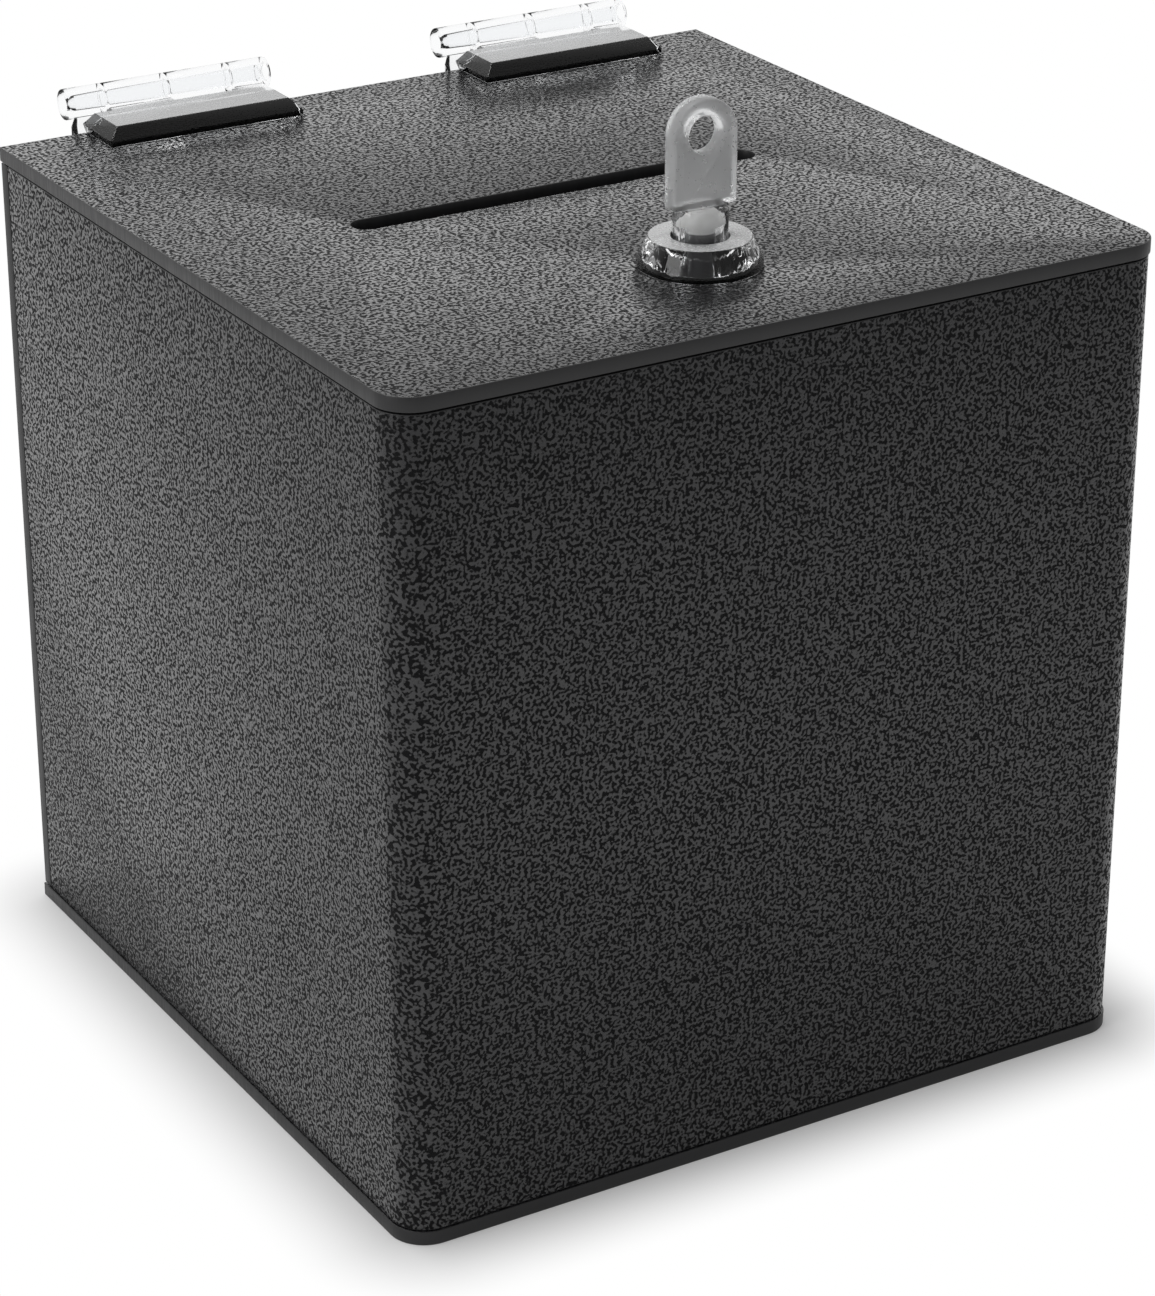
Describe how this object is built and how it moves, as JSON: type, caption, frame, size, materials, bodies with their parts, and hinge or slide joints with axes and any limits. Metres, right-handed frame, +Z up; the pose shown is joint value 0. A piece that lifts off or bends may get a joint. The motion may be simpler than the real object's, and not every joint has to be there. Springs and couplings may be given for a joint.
{
  "type": "ballot box",
  "caption": "Square lidded countertop ballot box in black textured sheet plastic, with a long ballot slot in the lid, clear hinges at the back and a clear cam lock with its key.",
  "frame": {"origin": "centre of the base's underside", "axes": "+Z up, -Y towards the front with the lock, +Y towards the hinges, +X to the right seen from the front"},
  "size_m": [0.2032, 0.213, 0.2475],
  "materials": {
    "black_sheet": "fine pebbled grain on the faces, smooth cut edges",
    "clear_plastic": "clear and polished",
    "rotor_plastic": "smooth moulded",
    "steel": "zinc plated"
  },
  "bodies": {
    "box": {"base_panel": "black_sheet", "wall_wrap": "black_sheet", "back_panel": "black_sheet", "catch_block": "black_sheet", "left_hinge_back_leaf": "clear_plastic", "right_hinge_back_leaf": "clear_plastic", "left_hinge_pin": "clear_plastic", "right_hinge_pin": "clear_plastic"},
    "lid": {"lid_panel": "black_sheet", "left_hinge_lid_leaf": "clear_plastic", "right_hinge_lid_leaf": "clear_plastic", "lock_housing": "clear_plastic", "lock_nut": "clear_plastic"},
    "rotor": {"lock_rotor": "rotor_plastic", "lock_cam": "steel", "cam_screw": "steel"},
    "key": {"key": "clear_plastic"}
  },
  "joints": [
    {"name": "lid_hinge", "type": "hinge", "parent": "box", "child": "lid", "pos_m": [0, 0.1075, 0.2142], "axis": [-1, 0, 0], "range_deg": [0, 240]},
    {"name": "lock_turn", "type": "hinge", "parent": "lid", "child": "rotor", "pos_m": [0, -0.0605, 0.2], "axis": [0, 0, 1], "range_deg": [0, 90]},
    {"name": "key_pull", "type": "slide", "parent": "rotor", "child": "key", "axis": [0, 0, 1], "range_m": [0, 0.03]}
  ]
}
